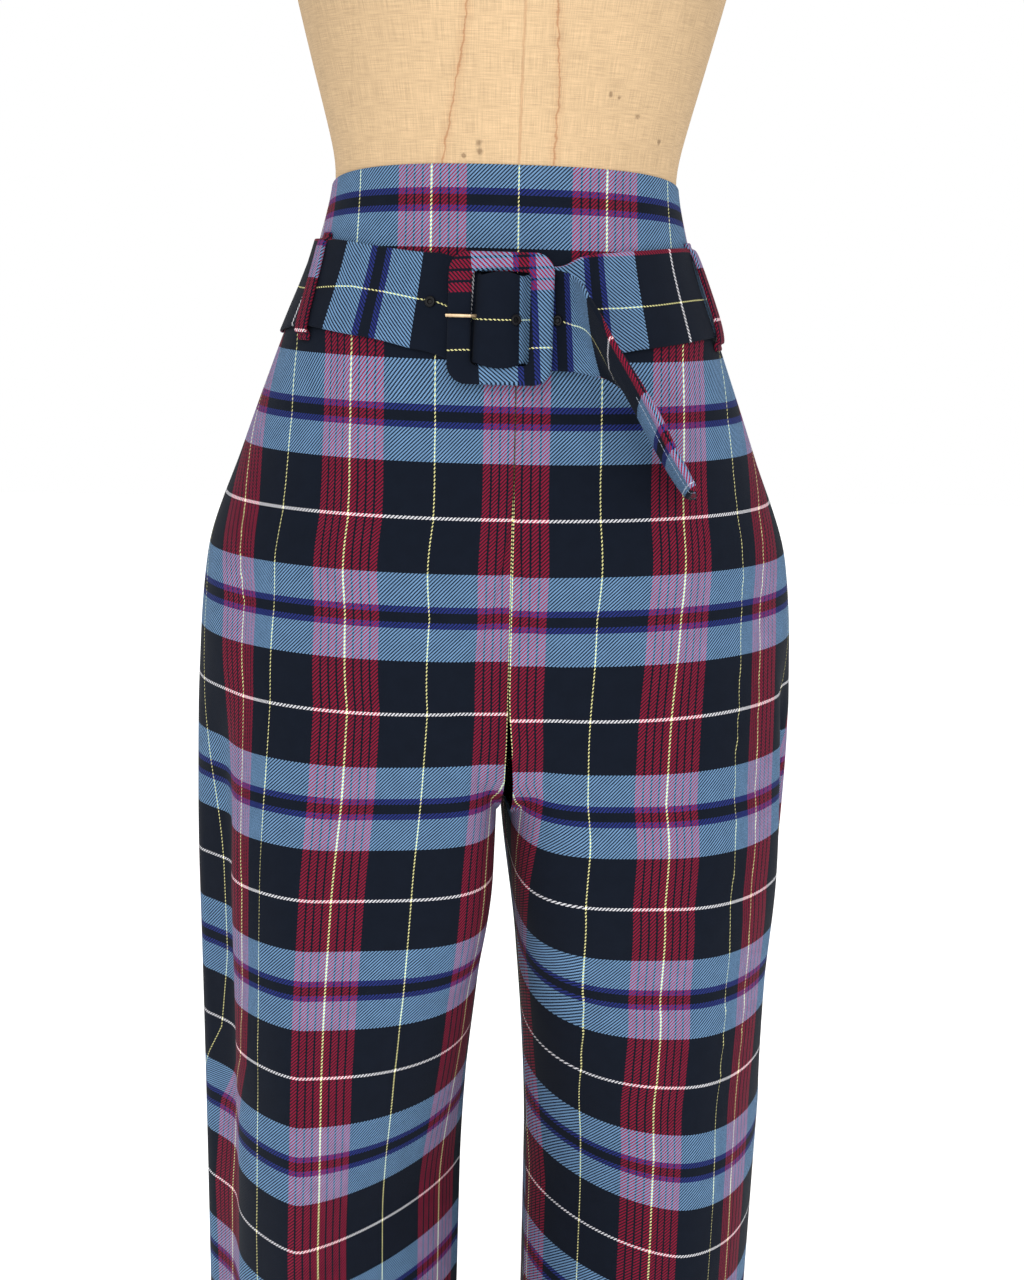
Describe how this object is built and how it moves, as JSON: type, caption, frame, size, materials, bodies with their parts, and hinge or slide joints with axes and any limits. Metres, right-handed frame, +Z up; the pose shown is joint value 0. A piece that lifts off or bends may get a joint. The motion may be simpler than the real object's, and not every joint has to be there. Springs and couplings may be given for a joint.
{
  "type": "tartan trousers on a dress form",
  "caption": "High-waisted wide-leg tartan trousers with a belt of the same cloth, worn on a limbless linen dress form on a round base.",
  "frame": {"origin": "middle of the underside of the form's base, on the floor", "axes": "+Z up, the front of the trousers faces -Y, the wearer's left is +X"},
  "size_m": [0.4155, 0.4, 1.59],
  "materials": {
    "tartan": "2/2 twill tartan in blue, black and red with white and yellow lines, matt",
    "linen": "tan linen glued over the form, matt, with water marks",
    "black_steel": "black paint, satin",
    "dark_wood": "dark stained wood, satin",
    "brass": "plain brass wire, lightly worn",
    "black_enamel": "matt black enamel"
  },
  "bodies": {
    "root": {"front_right": "tartan", "front_left": "tartan", "back_right": "tartan", "back_left": "tartan", "waistband_front": "tartan", "waistband_back": "tartan", "belt": "tartan", "belt_loop_right": "tartan", "belt_loop_left": "tartan", "belt_loop_back": "tartan", "buckle_frame": "tartan", "buckle_bar": "black_steel", "prong": "brass", "eyelet_1": "black_enamel", "eyelet_2": "black_enamel", "eyelet_3": "black_enamel", "form_torso": "linen", "form_pole": "black_steel", "form_base": "dark_wood"}
  },
  "joints": []
}
